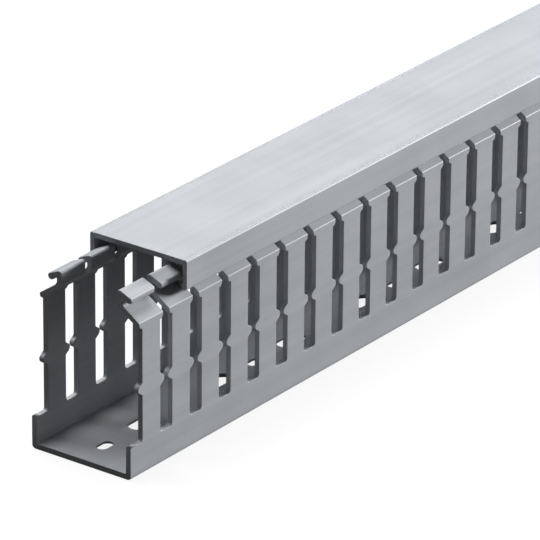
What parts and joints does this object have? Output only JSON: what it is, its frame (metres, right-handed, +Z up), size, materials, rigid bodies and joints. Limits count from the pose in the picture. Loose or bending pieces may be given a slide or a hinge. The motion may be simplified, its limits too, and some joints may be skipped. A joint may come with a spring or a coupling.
{
  "type": "slotted wire duct with cover",
  "caption": "Length of slotted wiring duct: a channel with finger walls and hooked finger heads, and a clip-on cover that slides along it.",
  "frame": {"origin": "middle of the base's underside, where the duct lies on its mounting plate", "axes": "+X along the duct away from the end where the cover is set back, +Y across the duct, +Z up from the mounting face to the cover"},
  "size_m": [0.5193, 0.026, 0.0426],
  "materials": {
    "base_pvc": "satin grey rigid PVC with faint lines along the extrusion",
    "cover_pvc": "satin grey rigid PVC, smooth, with faint lines along the extrusion"
  },
  "bodies": {
    "base": {"duct_base": "base_pvc"},
    "cover": {"cover": "cover_pvc"}
  },
  "joints": [
    {"name": "cover_slide", "type": "slide", "parent": "base", "child": "cover", "axis": [1, 0, 0], "range_m": [-0.0193, 0.4807]}
  ]
}
